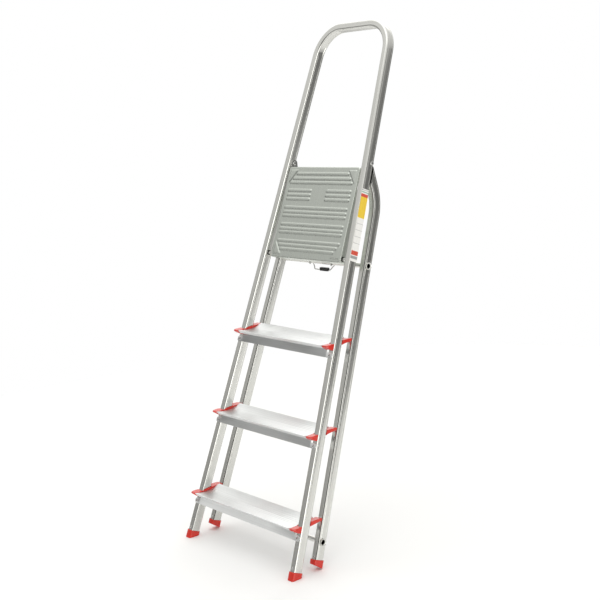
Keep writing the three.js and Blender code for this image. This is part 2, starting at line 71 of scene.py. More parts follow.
MM = 0.001
LEAN = math.radians(22)  # of the stiles, back from upright
REAR_TILT = math.radians(0.69)  # of the folded rear frame from the stiles
REAR_OFFSET = 66.8
HALF_WIDTH = 244.2  # over the stiles' outer faces at Z = 0
TAPER = 0.061  # how far each side leans in for a unit of height
SLANT = math.atan(TAPER)
TUBE_WIDTH, TUBE_DEPTH, TUBE_CORNER, TUBE_WALL = 20, 28, 5, 1.4
HOOP_START, HOOP_TOP, HOOP_BEND = 17, 1525, 95
LEG_START, LEG_BEND_START, LEG_BEND_RADIUS = 53, 987, 140
LEG_BEND_ANGLE = math.radians(31.5)
LEG_REST = 1.6
PIVOT_Y, PIVOT_Z = 14, 850
HINGE_Y, HINGE_Z = 20, 1118
GAP = 0.35  # between parts that lie on each other

TREAD_FIRST, TREAD_PITCH, TREAD_COUNT = 127, 240, 3
TREAD_BACK, TREAD_SKIN, TREAD_END_GAP = 62, 2, 3.4
APRON_BOTTOM, APRON_TAB, APRON_TOP, APRON_HALF = -24, -9.5, -1.5, 236

DECK_HALF, DECK_BOTTOM, DECK_TOP = 150.5, 838, 1104
DECK_FACE, DECK_SKIN = 5, 1.5
FLANGE_DEEP, FLANGE_TOP, FLANGE_LIP = 20, 12, 5.5
NOTCH_SLOPE, NOTCH_FROM, NOTCH_TO = 1014, 1044, 1090

# ---- frames ----

joints = {joint["name"]: joint for joint in frame["joints"]}
pivot_at = Matrix.Translation(Vector(joints["platform_fold"]["pos_m"]))
to_pivot = Matrix.Translation(Vector((0, -PIVOT_Y, -PIVOT_Z)))
STILE = pivot_at @ Matrix.Rotation(-LEAN, 4, "X") @ Matrix.Scale(MM, 4) @ to_pivot
REAR = STILE @ Matrix.Translation(Vector((0, REAR_OFFSET, 0))) @ Matrix.Rotation(REAR_TILT, 4, "X")
CATCH = Matrix.Translation(Vector(joints["catch_swing"]["pos_m"])) @ Matrix.Scale(MM, 4)

node_slots = {part["node"]: part["material_slot"] for part in frame["record"]["subparts"]}


def outer_x(z):
    """Half the width over the stiles' outer faces at height z."""
    return HALF_WIDTH - TAPER * z


def inner_x(z):
    """Half the width between the stiles' inner faces at height z."""
    return outer_x(z) - TUBE_WIDTH


def middle_x(z):
    """How far a stile's centre line is from the ladder's middle at height z."""
    return outer_x(z) - TUBE_WIDTH / 2


# A slanted side's own upright frame: its centre line is Z and x = 0.
RIGHT_SIDE = Matrix.Translation(Vector((middle_x(0), 0, 0))) @ Matrix.Rotation(-SLANT, 4, "Y")

# ---- materials ----


class Nodes:
    """A short way to build a material's node tree."""

    def __init__(self, name):
        self.material = bpy.data.materials.new(name)
        self.material.use_nodes = True
        self.tree = self.material.node_tree
        self.shader = self.tree.nodes["Principled BSDF"]

    def add(self, kind, **values):
        """A new node. Each value sets one of its properties or else an input."""
        node = self.tree.nodes.new(kind)
        for key, value in values.items():
            if hasattr(node, key):
                setattr(node, key, value)
            else:
                node.inputs[key.replace("_", " ")].default_value = value
        return node

    def link(self, source, target):
        self.tree.links.new(source, target)

    def grain(self, *scale):
        """The piece's own coordinates in millimetres, Z along its grain, scaled on each axis."""
        attribute = self.add("ShaderNodeAttribute", attribute_name="grain")
        scaled = self.add("ShaderNodeVectorMath", operation="MULTIPLY")
        scaled.inputs[1].default_value = scale
        self.link(attribute.outputs["Vector"], scaled.inputs[0])
        return scaled.outputs["Vector"]

    def noise(self, vector, detail=3.0):
        """Soft noise, mostly between 0.3 and 0.7, at one cell per unit of the vector."""
        noise = self.add("ShaderNodeTexNoise", Scale=1.0, Detail=detail, Roughness=0.6)
        self.link(vector, noise.inputs["Vector"])
        return noise.outputs["Fac"]

    def spread(self, value, low, high, start=0.3, stop=0.7):
        """Takes a noise value from start..stop to low..high."""
        spread = self.add("ShaderNodeMapRange")
        for key, number in (("From Min", start), ("From Max", stop), ("To Min", low), ("To Max", high)):
            spread.inputs[key].default_value = number
        self.link(value, spread.inputs["Value"])
        return spread.outputs["Result"]

    def tint(self, value, dark, light):
        """A colour between dark and light by a value from 0 to 1."""
        mix = self.add("ShaderNodeMix", data_type="RGBA")
        self.link(value, mix.inputs["Factor"])
        mix.inputs["A"].default_value = (*dark, 1)
        mix.inputs["B"].default_value = (*light, 1)
        return mix.outputs["Result"]

    def bump(self, height, distance, strength=1.0, under=None):
        """A normal bent by a height from 0 to 1, distance metres high, on top of another bump."""
        bump = self.add("ShaderNodeBump", Strength=strength, Distance=distance)
        self.link(height, bump.inputs["Height"])
        if under is not None:
            self.link(under, bump.inputs["Normal"])
        return bump.outputs["Normal"]


PAINTED_BORE_SHADE = (0.03, 0.03, 0.03)  # painted shade: a near-black colour for metal inside a bore, where light doesn't reach


def metal(name, dark, light, roughness, line_depth, ripple_depth):
    """A drawn or rolled metal: fine lines along its grain, slow ripples, and painted shade in its bores.
    """
    nodes = Nodes(name)
    # Cells per millimetre, across the grain twice and then along it.
    fine = nodes.noise(nodes.grain(1.3, 1.3, 0.004), 2.0)
    streaks = nodes.noise(nodes.grain(0.45, 0.45, 0.003), 2.0)
    patches = nodes.noise(nodes.grain(0.03, 0.03, 0.006), 2.0)
    colour = nodes.tint(nodes.spread(streaks, 0, 1), dark, light)
    # Points marked unlit take a near-black colour: painted shade inside bores and tube walls.
    shade = nodes.add("ShaderNodeAttribute", attribute_name="unlit")
    painted_shade = nodes.add("ShaderNodeMix", data_type="RGBA")
    nodes.link(shade.outputs["Fac"], painted_shade.inputs["Factor"])
    nodes.link(colour, painted_shade.inputs["A"])
    painted_shade.inputs["B"].default_value = (*PAINTED_BORE_SHADE, 1)
    nodes.link(painted_shade.outputs["Result"], nodes.shader.inputs["Base Color"])
    dull = nodes.add("ShaderNodeMath", operation="ADD")
    nodes.link(nodes.spread(patches, *roughness), dull.inputs[0])
    nodes.link(nodes.spread(fine, -0.03, 0.04), dull.inputs[1])
    nodes.link(dull.outputs["Value"], nodes.shader.inputs["Roughness"])
    slow = nodes.bump(patches, ripple_depth * MM)
    nodes.link(nodes.bump(fine, line_depth * MM, 1.0, slow), nodes.shader.inputs["Normal"])
    nodes.shader.inputs["Metallic"].default_value = 1.0
    return nodes.material


def moulded_plastic(name, dark, light, roughness, texture):
    """Moulded plastic: a faint mould texture, uneven gloss, and colour a little deeper in places."""
    nodes = Nodes(name)
    flow = nodes.noise(nodes.grain(0.06, 0.06, 0.06), 3.0)
    mould = nodes.noise(nodes.grain(2.2, 2.2, 2.2), 3.0)
    scuffs = nodes.noise(nodes.grain(0.9, 0.12, 0.5), 5.0)
    nodes.link(nodes.tint(nodes.spread(flow, 0, 1), dark, light), nodes.shader.inputs["Base Color"])
    nodes.link(nodes.spread(scuffs, *roughness, 0.4, 0.75), nodes.shader.inputs["Roughness"])
    nodes.link(nodes.bump(mould, texture * MM, 0.7), nodes.shader.inputs["Normal"])
    return nodes.material


def label_material():
    """A printed film of plain colour blocks. Grain Z runs from 0 at its foot to 1 at its head."""
    white, line = (0.83, 0.82, 0.79), (0.24, 0.26, 0.26)
    red, yellow = (0.62, 0.09, 0.06), (0.80, 0.56, 0.06)
    grey, green = (0.33, 0.34, 0.34), (0.28, 0.44, 0.36)
    bands = [
        (0.03, grey), (0.07, white), (0.08, red), (0.14, white), (0.24, line), (0.245, white),
        (0.33, line), (0.335, white), (0.42, line), (0.425, white), (0.51, line), (0.515, white),
        (0.59, yellow), (0.88, red), (0.925, white), (0.94, green), (0.955, white),
        (0.97, line), (0.98, white),
    ]
    nodes = Nodes("label_film")
    split = nodes.add("ShaderNodeSeparateXYZ")
    nodes.link(nodes.grain(1, 1, 1), split.inputs[0])
    ramp = nodes.add("ShaderNodeValToRGB")
    ramp.color_ramp.interpolation = "CONSTANT"
    for place, colour in bands:
        ramp.color_ramp.elements.new(place).color = (*colour, 1)
    ramp.color_ramp.elements[0].color = (*white, 1)
    ramp.color_ramp.elements[-1].color = (*white, 1)
    nodes.link(split.outputs["Z"], ramp.inputs["Fac"])
    nodes.link(ramp.outputs["Color"], nodes.shader.inputs["Base Color"])
    wear = nodes.noise(nodes.grain(0.3, 0.3, 9.0), 4.0)
    nodes.link(nodes.spread(wear, 0.22, 0.4), nodes.shader.inputs["Roughness"])
    nodes.link(nodes.bump(wear, 0.05 * MM, 0.5), nodes.shader.inputs["Normal"])
    return nodes.material


# A metal's or plastic's dark and light colours, its range of roughness, and its depths in millimetres.
MATERIALS = {
    "aluminium_profile": metal(
        "aluminium_profile", (0.64, 0.64, 0.61), (0.71, 0.71, 0.68), (0.17, 0.23), 0.004, 0.08
    ),
    "tread_aluminium": metal(
        "tread_aluminium", (0.72, 0.73, 0.73), (0.79, 0.80, 0.80), (0.32, 0.40), 0.003, 0.03
    ),
    "platform_aluminium": metal(
        "platform_aluminium", (0.55, 0.58, 0.54), (0.60, 0.63, 0.58), (0.24, 0.32), 0.002, 0.05
    ),
    "steel_fittings": metal(
        "steel_fittings", (0.55, 0.55, 0.54), (0.64, 0.64, 0.62), (0.16, 0.24), 0.002, 0.02
    ),
    "red_plastic": moulded_plastic(
        "red_plastic", (0.58, 0.026, 0.016), (0.66, 0.036, 0.022), (0.2, 0.3), 0.02
    ),
    "black_plastic": moulded_plastic(
        "black_plastic", (0.02, 0.02, 0.02), (0.03, 0.03, 0.03), (0.4, 0.55), 0.03
    ),
    "label_film": label_material(),
}

# ---- from points and faces to a finished piece ----


def finish_piece(piece, node, grain, sharp=38, unlit=None):
    """Shades a mesh, stores its grain in millimetres, and lets it stand for a CAD node.

    Edges sharper than sharp degrees stay sharp. unlit gives 1 for each point inside a bore, where the
    metal's colour is painted shade, and 0 for the others.
    """
    mesh = piece.data
    if unlit:
        mesh.attributes.new("unlit", "FLOAT", "POINT").data.foreach_set("value", unlit)
    values = [number for value in grain for number in value]
    mesh.attributes.new("grain", "FLOAT_VECTOR", "POINT").data.foreach_set("vector", values)
    mesh.materials.clear()
    mesh.materials.append(MATERIALS[node_slots[node]])
    mesh.shade_smooth()
    mesh.set_sharp_from_angle(angle=math.radians(sharp))
    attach(piece, frame["nodes"][node]["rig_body"])
    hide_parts(node)


def linked(name, data):
    """A new object in the scene."""
    thing = bpy.data.objects.new(name, data)
    bpy.context.scene.collection.objects.link(thing)
    return thing


def new_piece(name, points, faces):
    """A mesh object from points in the row frame, its faces turned outwards."""
    mesh = bpy.data.meshes.new(name)
    mesh.from_pydata(points, [], faces)
    work = bmesh.new()
    work.from_mesh(mesh)
    bmesh.ops.recalc_face_normals(work, faces=work.faces)
    work.to_mesh(mesh)
    work.free()
    return linked(name, mesh)


def evaluated_mesh(thing):
    """An object's mesh with its modifiers or curve settings applied."""
    depsgraph = bpy.context.evaluated_depsgraph_get()
    return bpy.data.meshes.new_from_object(thing.evaluated_get(depsgraph))


def apply_modifiers(piece):
    """Makes a piece's modifiers part of its mesh."""
    mesh = evaluated_mesh(piece)
    piece.modifiers.clear()
    piece.data = mesh


def bevelled(piece, width, segments=2, angle=40):
    """Rounds the edges of a piece that are sharper than an angle in degrees."""
    bevel = piece.modifiers.new("edges", "BEVEL")
    bevel.width = width * MM
    bevel.segments = segments
    bevel.limit_method = "ANGLE"
    bevel.angle_limit = math.radians(angle)
    bevel.use_clamp_overlap = True
    apply_modifiers(piece)
    return piece


def detail_name(node):
    """The name of the piece that stands for a node."""
    return f"{node}_detail"


def drawn(node, points, faces, place, grain=None, unlit=None):
    """A piece for a node, from points in millimetres in the frame that place takes to the row."""
    piece = new_piece(detail_name(node), [place @ Vector(p) for p in points], faces)
    finish_piece(piece, node, grain or points, unlit=unlit)


def local_points(piece, place):
    """A piece's points in millimetres in the frame that place takes to the row."""
    back = place.inverted()
    return [back @ vertex.co for vertex in piece.data.vertices]


def along_x(points):
    """Grain for a piece whose lines run across the ladder."""
    return [(p[1], p[2], p[0]) for p in points]


def flipped(points, side):
    """Points drawn for the right side, on the side whose sign is given."""
    return [Vector((side * p[0], p[1], p[2])) for p in points]


def joined(piece, tool, operation):
    """Adds another piece to this one or cuts it from this one, and removes it."""
    boolean = piece.modifiers.new("boolean", "BOOLEAN")
    boolean.operation = operation
    boolean.object = tool
    boolean.solver = "EXACT"
    apply_modifiers(piece)
    bpy.data.objects.remove(tool)


SIDES = (("right", 1), ("left", -1))

# ---- tubes ----


def arc(centre_a, centre_b, radius, start, stop, steps):
    """Points on an arc, from start to stop degrees."""
    for i in range(steps + 1):
        angle = math.radians(start + (stop - start) * i / steps)
        yield centre_a + radius * math.cos(angle), centre_b + radius * math.sin(angle)


CORNER_STEPS = 7
EDGE_HOLD = 0.3  # points this close to a corner keep its shading off the flats
GROOVE_DEPTH = 0.28


def tube_section(inset, groove):
    """The oval tube's section, across (a) and from front to back (b), with a groove near each corner."""
    a, b = TUBE_WIDTH / 2 - inset, TUBE_DEPTH / 2 - inset
    radius = TUBE_CORNER - inset
    edge, flat = b - radius, a - radius - EDGE_HOLD
    upper = [(edge - EDGE_HOLD, 0), (edge - 1.0, 0), (edge - 1.5, groove), (edge - 2.0, 0), (3, 0)]
    heights = upper + [(0, 0)] + [(-height, depth) for height, depth in reversed(upper)]
    points = list(arc(a - radius, edge, radius, 0, 90, CORNER_STEPS))
    points += [(flat, b), (0, b), (-flat, b)]
    points += list(arc(radius - a, edge, radius, 90, 180, CORNER_STEPS))
    points += [(depth - a, height) for height, depth in heights]
    points += list(arc(radius - a, -edge, radius, 180, 270, CORNER_STEPS))
    points += [(-flat, -b), (0, -b), (flat, -b)]
    points += list(arc(a - radius, -edge, radius, 270, 360, CORNER_STEPS))
    points += [(a - depth, -height) for height, depth in heights]
    return points


def skin(rings, closed):
    """Quads between rings of equal length. closed joins the last to the first, else both are capped."""
    count = len(rings[0])
    points = [p for ring in rings for p in ring]
    faces = []
    for i in range(len(rings) if closed else len(rings) - 1):
        j = (i + 1) % len(rings)
        for k in range(count):
            m = (k + 1) % count
            faces.append((i * count + k, i * count + m, j * count + m, j * count + k))
    if not closed:
        faces.append(tuple(range(count)))
        faces.append(tuple((len(rings) - 1) * count + k for k in reversed(range(count))))
    return points, faces


def around(section):
    """How far round a section each of its points is."""
    run, total = [0.0], 0.0
    for (a0, b0), (a1, b1) in zip(section, section[1:]):
        total += math.hypot(a1 - a0, b1 - b0)
        run.append(total)
    return run


def tube_grain(stations, section):
    """Grain for a hollow tube: round the section in X, 0 in Y and along the tube in Z."""
    run = around(section)
    lengths = [0.0]
    for last, station in zip(stations, stations[1:]):
        lengths.append(lengths[-1] + (station - last).length)
    rings = [[(r, 0.0, length) for r in run] for length in lengths]
    return [value for ring in rings + rings[::-1] for value in ring]


def hollow_tube(stations, ring_at):
    """An open-ended tube: its outer rings one way, then its inner rings back.

    ring_at(i, section) gives a section's points at a station. The inner rings are unlit and get painted
    shade.
    """
    outer, inner = tube_section(0, GROOVE_DEPTH), tube_section(TUBE_WALL, 0)
    rings = [ring_at(i, outer) for i in range(len(stations))]
    rings += [ring_at(i, inner) for i in reversed(range(len(stations)))]
    points, faces = skin(rings, closed=True)
    unlit = [float(i >= len(points) // 2) for i in range(len(points))]
    return points, faces, tube_grain(stations, outer), unlit


def smooth_step(t):
    """0 up to 0, 1 from 1 on, and a smooth rise between."""
    t = min(max(t, 0.0), 1.0)
    return t * t * (3 - 2 * t)


HOOP_HEIGHTS = (400, 800, 1200, 1400)  # of the rings between a stile's foot and its bend
HOOP_BEND_STEPS = 28
BEND_DENT = 2.6  # how far the bending tool presses the inside of each bend in
BEND_FLAT = 0.9  # how far the outside of each bend flattens
BEND_BAND = 10.5  # half the width of the band that is pressed
BEND_FADE = 0.16  # the share of a bend over which the pressing starts, and stops
FACE_DEPTH = 3  # how far below a tube's side face a point still moves with it


def hoop_stations():
    """Centre points of the hoop from the right foot to the left, with their outward angles and dents."""
    radius = HOOP_BEND - TUBE_WIDTH / 2
    top = HOOP_TOP - TUBE_WIDTH / 2
    straight = (top - radius + radius * math.sin(SLANT)) / math.cos(SLANT)
    centre_x = middle_x(0) - straight * math.sin(SLANT) - radius * math.cos(SLANT)
    half = [(middle_x(z), z, SLANT, 0.0) for z in (HOOP_START, *HOOP_HEIGHTS)]
    for i in range(HOOP_BEND_STEPS + 1):
        share = i / HOOP_BEND_STEPS
        angle = SLANT + (math.pi / 2 - SLANT) * share
        dent = smooth_step(share / BEND_FADE) * smooth_step((1 - share) / BEND_FADE)
        x = centre_x + radius * math.cos(angle)
        z = top - radius + radius * math.sin(angle)
        half.append((x, z, angle, dent))
    return half + [(-x, z, math.pi - angle, dent) for x, z, angle, dent in reversed(half)]


def pressed_across(a, b, dent):
    """Where across the tube a section's point is once a bend has pressed it."""
    if abs(a) <= TUBE_WIDTH / 2 - FACE_DEPTH:
        return a
    crown = dent * max(1 - (b / BEND_BAND) ** 2, 0)
    return a + (BEND_DENT if a < 0 else -BEND_FLAT) * crown


def front_hoop():
    """Both stiles and the handrail, one bent tube."""
    stations = hoop_stations()

    def ring_at(i, section):
        x, z, angle, dent = stations[i]
        ring = []
        for a, b in section:
            across = pressed_across(a, b, dent)
            ring.append((x + across * math.cos(angle), TUBE_DEPTH / 2 + b, z + across * math.sin(angle)))
        return ring

    centres = [Vector((x, 0, z)) for x, z, _, _ in stations]
    points, faces, grain, unlit = hollow_tube(centres, ring_at)
    drawn("front_hoop", points, faces, STILE, grain, unlit)


def leg_line(distance):
    """Centre of a rear leg a distance up it, and how far it has bent forward there."""
    turned = min(max((distance - LEG_BEND_START) / LEG_BEND_RADIUS, 0), LEG_BEND_ANGLE)
    straight = distance - LEG_BEND_START - LEG_BEND_RADIUS * turned
    y = TUBE_DEPTH / 2 - LEG_BEND_RADIUS * (1 - math.cos(turned)) - straight * math.sin(turned)
    z = LEG_BEND_START + LEG_BEND_RADIUS * math.sin(turned) + straight * math.cos(turned)
    return y, z, turned


LEG_HEIGHTS = (400, 800, 960)  # of the rings between a leg's foot and its bend
LEG_BEND_STEPS = 18
LEG_TAIL = 4  # straight tube past the bend, where the slanted cut starts
CROSS_TUBES = ("lower_cross_tube", "upper_cross_tube")
CROSS_RADIUS, CROSS_WALL, CROSS_FLARE = 7.0, 1.2, 10.0


def in_leg_bore(point):
    """Whether a point in a rear leg's own upright frame is on the inside of the tube."""
    risen = point.z - LEG_BEND_START
    bend_rise = LEG_BEND_RADIUS * math.sin(LEG_BEND_ANGLE)
    turned = math.asin(min(max(risen, 0), bend_rise) / LEG_BEND_RADIUS)
    centre_y = TUBE_DEPTH / 2 - LEG_BEND_RADIUS * (1 - math.cos(turned))
    centre_y -= max(risen - bend_rise, 0) * math.tan(turned)
    off = abs(point.y - centre_y) * math.cos(turned)
    return abs(point.x) < (TUBE_WIDTH - TUBE_WALL) / 2 and off < (TUBE_DEPTH - TUBE_WALL) / 2


def drill(piece, tube):
    """Cuts the hole in a rear leg that a cross tube passes through."""
    radius, reach = CROSS_RADIUS + GAP, HALF_WIDTH + 20
    points, faces = turned([(0, -reach), (radius, -reach), (radius, reach), (0, reach)])
    place = axle(tube, REAR)[1]
    bore = new_piece("bore", [place @ Vector(p) for p in points], faces)
    joined(piece, bore, "DIFFERENCE")


def rear_legs():
    """Two legs, bent forward at the top and cut off slantwise along the backs of the stiles."""
    bend = LEG_BEND_RADIUS * LEG_BEND_ANGLE
    distances = [LEG_START, *LEG_HEIGHTS]
    distances += [LEG_BEND_START + bend * i / LEG_BEND_STEPS for i in range(LEG_BEND_STEPS + 1)]
    distances += [LEG_BEND_START + bend + LEG_TAIL]
    lines = [leg_line(d) for d in distances]
    rear_to_stile = STILE.inverted() @ REAR
    stop_y = TUBE_DEPTH + LEG_REST

    def ring_at(i, section):
        y, z, turned = lines[i]
        run = Vector((0, -math.sin(turned), math.cos(turned)))
        back = Vector((0, math.cos(turned), math.sin(turned)))
        ring = []
        for a, b in section:
            point = RIGHT_SIDE @ (Vector((a, y, z)) + back * b)
            if i == len(lines) - 1:
                way = RIGHT_SIDE.to_3x3() @ run
                gone = (rear_to_stile @ point).y - stop_y
                point = point - way * (gone / (rear_to_stile.to_3x3() @ way).y)
            ring.append(point)
        return ring

    centres = [Vector((0, y, z)) for y, z, _ in lines]
    points, faces, _, _ = hollow_tube(centres, ring_at)
    for word, side in SIDES:
        node = f"rear_leg_{word}"
        piece = new_piece(detail_name(node), [REAR @ Vector(p) for p in flipped(points, side)], faces)
        for tube in CROSS_TUBES:
            drill(piece, tube)
        grain = [RIGHT_SIDE.inverted() @ p for p in flipped(local_points(piece, REAR), side)]
        finish_piece(piece, node, grain, unlit=[float(in_leg_bore(p)) for p in grain])


# ---- turned pieces ----


def turned(profile, segments=32):
    """A profile of (radius, height) points turned about Z.

    A profile with both ends off the axis is a loop: its last point joins its first.
    """
    points, faces, rows = [], [], []
    for radius, height in profile:
        if radius == 0:
            rows.append([len(points)])
            points.append((0.0, 0.0, height))
            continue
        rows.append(list(range(len(points), len(points) + segments)))
        for i in range(segments):
            angle = 2 * math.pi * i / segments
            points.append((radius * math.cos(angle), radius * math.sin(angle), height))
    pairs = list(zip(rows, rows[1:]))
    if len(rows[0]) > 1 and len(rows[-1]) > 1:
        pairs.append((rows[-1], rows[0]))
    for low, high in pairs:
        for i in range(segments):
            j = (i + 1) % segments
            corners = [low[i % len(low)], low[j % len(low)], high[j % len(high)], high[i % len(high)]]
            faces.append(tuple(dict.fromkeys(corners)))
    return points, faces


ALONG_X = Matrix.Rotation(math.pi / 2, 4, "Y")  # turns Z to X
FACING_FRONT = Matrix.Rotation(math.pi / 2, 4, "X")  # turns Z to -Y


def turned_piece(node, profile, place, segments=32, bore=0.0):
    """A turned piece. Points nearer its axis than bore get painted shade, as in a hole that light
    doesn't reach.
    """
    points, faces = turned(profile, segments)
    unlit = [float(math.hypot(p[0], p[1]) < bore) for p in points]
    drawn(node, points, faces, place, unlit=unlit)


def extent(node, place):
    """A CAD node's lowest and highest corners, in the frame that place takes to the row."""
    points = local_points(frame["nodes"][node], place)
    low = Vector(min(p[axis] for p in points) for axis in range(3))
    high = Vector(max(p[axis] for p in points) for axis in range(3))
    return low, high


def axle(node, place):
    """Half a node's length along X, and the matrix that turns a profile about its middle line."""
    low, high = extent(node, place)
    return (high.x - low.x) / 2, place @ Matrix.Translation((low + high) / 2) @ ALONG_X


RIVET_HEAD, RIVET_DOME, RIVET_SHANK, RIVET_LENGTH, RIVET_BORE = 4.2, 1.4, 2.0, 3.6, 1.5

# A blind rivet: a domed ring with its broken mandrel sunk in the middle.
RIVET_PROFILE = [
    (0, 0.1), (0.9, 0.1), (1.3, 0.15), (1.45, 0.3), (1.6, 0.95), (1.9, 1.3), (2.4, RIVET_DOME),
    (3.1, 1.2), (3.8, 0.75), (4.12, 0.35), (RIVET_HEAD, 0.1), (RIVET_HEAD - 0.1, 0), (RIVET_SHANK, 0),
    (RIVET_SHANK, -RIVET_LENGTH), (0, -RIVET_LENGTH),
]


def rivet(node, place, seat, facing):
    """A rivet whose head sits on a point. facing turns Z to the way the head looks."""
    place = place @ Matrix.Translation(seat) @ facing
    turned_piece(node, RIVET_PROFILE, place, segments=24, bore=RIVET_BORE)


def front_rivet(node, place):
    """A rivet in a front face: its head stands forward of the face."""
    low, high = extent(node, place)
    seat = Vector(((low.x + high.x) / 2, low.y + RIVET_DOME, (low.z + high.z) / 2))
    rivet(node, place, seat, FACING_FRONT)


def bracket_rivet(node, side):
    """A rivet in a hinge bracket: its head stands towards the ladder's middle."""
    mirror = Matrix.Diagonal(Vector((side, 1, 1, 1)))
    place = REAR @ mirror @ RIGHT_SIDE
    low, high = extent(node, place)
    seat = Vector((low.x + RIVET_DOME, (low.y + high.y) / 2, (low.z + high.z) / 2))
    rivet(node, place, seat, ALONG_X.inverted())


def rivets():
    """Every rivet on the ladder."""
    for word, side in SIDES:
        for i in range(1, TREAD_COUNT + 1):
            front_rivet(f"tread_rivet_{i}_{word}", STILE)
        front_rivet(f"front_foot_rivet_{word}", STILE)
        front_rivet(f"rear_foot_rivet_{word}", REAR)
        for i in (1, 2):
            bracket_rivet(f"bracket_rivet_{i}_{word}", side)


def headed_pin(node, shank, head, length):
    """A pin along X, as long as its CAD node, with a domed head of some length at each end."""
    half, place = axle(node, STILE)
    outer = [(0, half), (head * 0.35, half - 0.05), (head * 0.7, half - 0.25), (head * 0.92, half - 0.6)]
    outer += [(head, half - 0.95), (head, half - length + 0.15), (head - 0.15, half - length)]
    outer += [(shank, half - length)]
    profile = outer + [(radius, -height) for radius, height in reversed(outer)]
    turned_piece(node, profile, place)


def collar(node, inner, outer, edge):
    """A ring along X with rounded edges, as long as its CAD node."""
    half, place = axle(node, STILE)
    profile = [(inner, -half), (outer - edge, -half), (outer - edge * 0.3, -half + edge * 0.3)]
    profile += [(outer, -half + edge), (outer, half - edge), (outer - edge * 0.3, half - edge * 0.3)]
    profile += [(outer - edge, half), (inner, half)]
    turned_piece(node, profile, place)


COLLAR_BORE = 3.35


def pivots():
    """What the platform and the rear frame turn on."""
    for word, _ in SIDES:
        headed_pin(f"platform_bolt_{word}", shank=3.0, head=6.0, length=2.2)
        headed_pin(f"hinge_pin_{word}", shank=3.4, head=5.5, length=1.6)
        for which in ("inner", "outer"):
            collar(f"platform_washer_{which}_{word}", COLLAR_BORE, outer=7.0, edge=0.4)
        collar(f"platform_spacer_{word}", COLLAR_BORE, outer=5.0, edge=0.5)


def cross_tube(node):
    """A tube through both rear legs, its ends rolled outwards over their faces."""
    end, place = axle(node, REAR)
    bore, flare = CROSS_RADIUS - CROSS_WALL, CROSS_FLARE
    lip = [(bore, end - 4.2), (bore + 0.35, end - 2.6), (bore + 1.2, end - 1.2)]
    lip += [(flare - 1.6, end - 0.25), (flare - 0.8, end), (flare - 0.15, end - 0.3)]
    lip += [(flare, end - 0.9), (flare - 0.5, end - 1.5)]
    lip += [(CROSS_RADIUS + 1.2, end - 2.4), (CROSS_RADIUS + 0.2, end - 3.2), (CROSS_RADIUS, end - 4.4)]
    profile = lip + [(radius, -height) for radius, height in reversed(lip)]
    turned_piece(node, profile, place, segments=40, bore=bore + 0.3)


# ---- treads ----


def level(back, up):
    """A point level and upright from a tread's front line, in the stile frame's Y and Z."""
    y = back * math.cos(LEAN) - up * math.sin(LEAN)
    z = back * math.sin(LEAN) + up * math.cos(LEAN)
    return y, z


RIBS, RIB_HEIGHT = 11, 0.4
RIBS_FROM, RIBS_SHARE = 0.03, 0.93  # where the ribs start on a tread's top, and how much of it they take
UNDER_STEPS = 12

# A tread's top and underside are hollow curves: start, pull and end points as (back, up).
TREAD_TOP = ((-22, 13.6), (22, 3.3), (62, 19.8))
TREAD_UNDER = ((-19, 11.1), (22, 1.5), (60, 17.2))


def dished(curve, t):
    """A point on one of a tread's hollow curves, from its front at 0 to its back at 1."""
    weights = ((1 - t) ** 2, 2 * t * (1 - t), t * t)
    return tuple(sum(w * point[k] for w, point in zip(weights, curve)) for k in (0, 1))


def tread_outline():
    """A tread's side outline: front apron, overhanging nosing, ribbed hollow top and a lip behind."""
    front, back = -GAP - TREAD_SKIN, -GAP
    outline = [(front, APRON_BOTTOM), (front, APRON_TOP)]
    outline += [level(-14, 3.4), level(-15.1, 3.7), level(-16, 4.6), level(-22.1, 11.8)]
    outline += [level(-22.5, 12.5), level(-22.5, 13.2), level(-22, 13.7)]
    for rib in range(RIBS):
        for share, lift in ((0.08, 0), (0.18, RIB_HEIGHT), (0.82, RIB_HEIGHT), (0.92, 0)):
            run, up = dished(TREAD_TOP, RIBS_FROM + RIBS_SHARE * (rib + share) / RIBS)
            outline.append(level(run, up + lift))
    lip = [(TREAD_BACK - 0.9, 19.7), (TREAD_BACK - 0.2, 19.3), (TREAD_BACK, 18.6)]
    lip += [(TREAD_BACK, 9.3), (TREAD_BACK - 1, 9), (TREAD_BACK - TREAD_SKIN, 9.3)]
    outline += [level(back_by, up) for back_by, up in lip]
    outline += [level(*dished(TREAD_UNDER, 1 - i / UNDER_STEPS)) for i in range(UNDER_STEPS + 1)]
    outline += [level(-14.3, 5.7), (back, 0.5), (back, APRON_BOTTOM)]
    return outline


def apron_strip(half):
    """The apron's front strip, its ends rounded over the stiles' front faces."""
    round_end, inset = 5.5, 0.01
    low, high = APRON_BOTTOM + inset, APRON_TAB
    outline = list(arc(half - round_end, high - round_end, round_end, 90, 0, 6))
    outline += list(arc(half - round_end, low + round_end, round_end, 0, -90, 6))
    outline += [(-x, z) for x, z in reversed(outline)]
    rings = [[(x, y, z) for x, z in outline] for y in (-GAP - TREAD_SKIN + inset, -GAP - inset)]
    return skin(rings, closed=False)


def placed(name, points, faces, place):
    """A bevelled sheet piece from points in millimetres in the frame that place takes to the row."""
    piece = new_piece(name, [place @ Vector(p) for p in points], faces)
    return bevelled(piece, width=0.3, angle=50)


def treads():
    """Each tread's extrusion with the apron strip that reaches over the stiles."""
    outline = tread_outline()
    for i in range(TREAD_COUNT):
        node = f"tread_{i + 1}"
        height = TREAD_FIRST + TREAD_PITCH * i
        place = STILE @ Matrix.Translation(Vector((0, 0, height)))
        rings = []
        for share in (-1, -0.5, 0, 0.5, 1):
            rings.append([(share * (inner_x(height + z) - TREAD_END_GAP), y, z) for y, z in outline])
        piece = placed(detail_name(node), *skin(rings, closed=False), place)
        strip = placed("strip", *apron_strip(APRON_HALF - TAPER * TREAD_PITCH * i), place)
        joined(piece, strip, "UNION")
        finish_piece(piece, node, along_x(local_points(piece, place)), sharp=30)


# ---- moulded plastic: end caps and feet ----


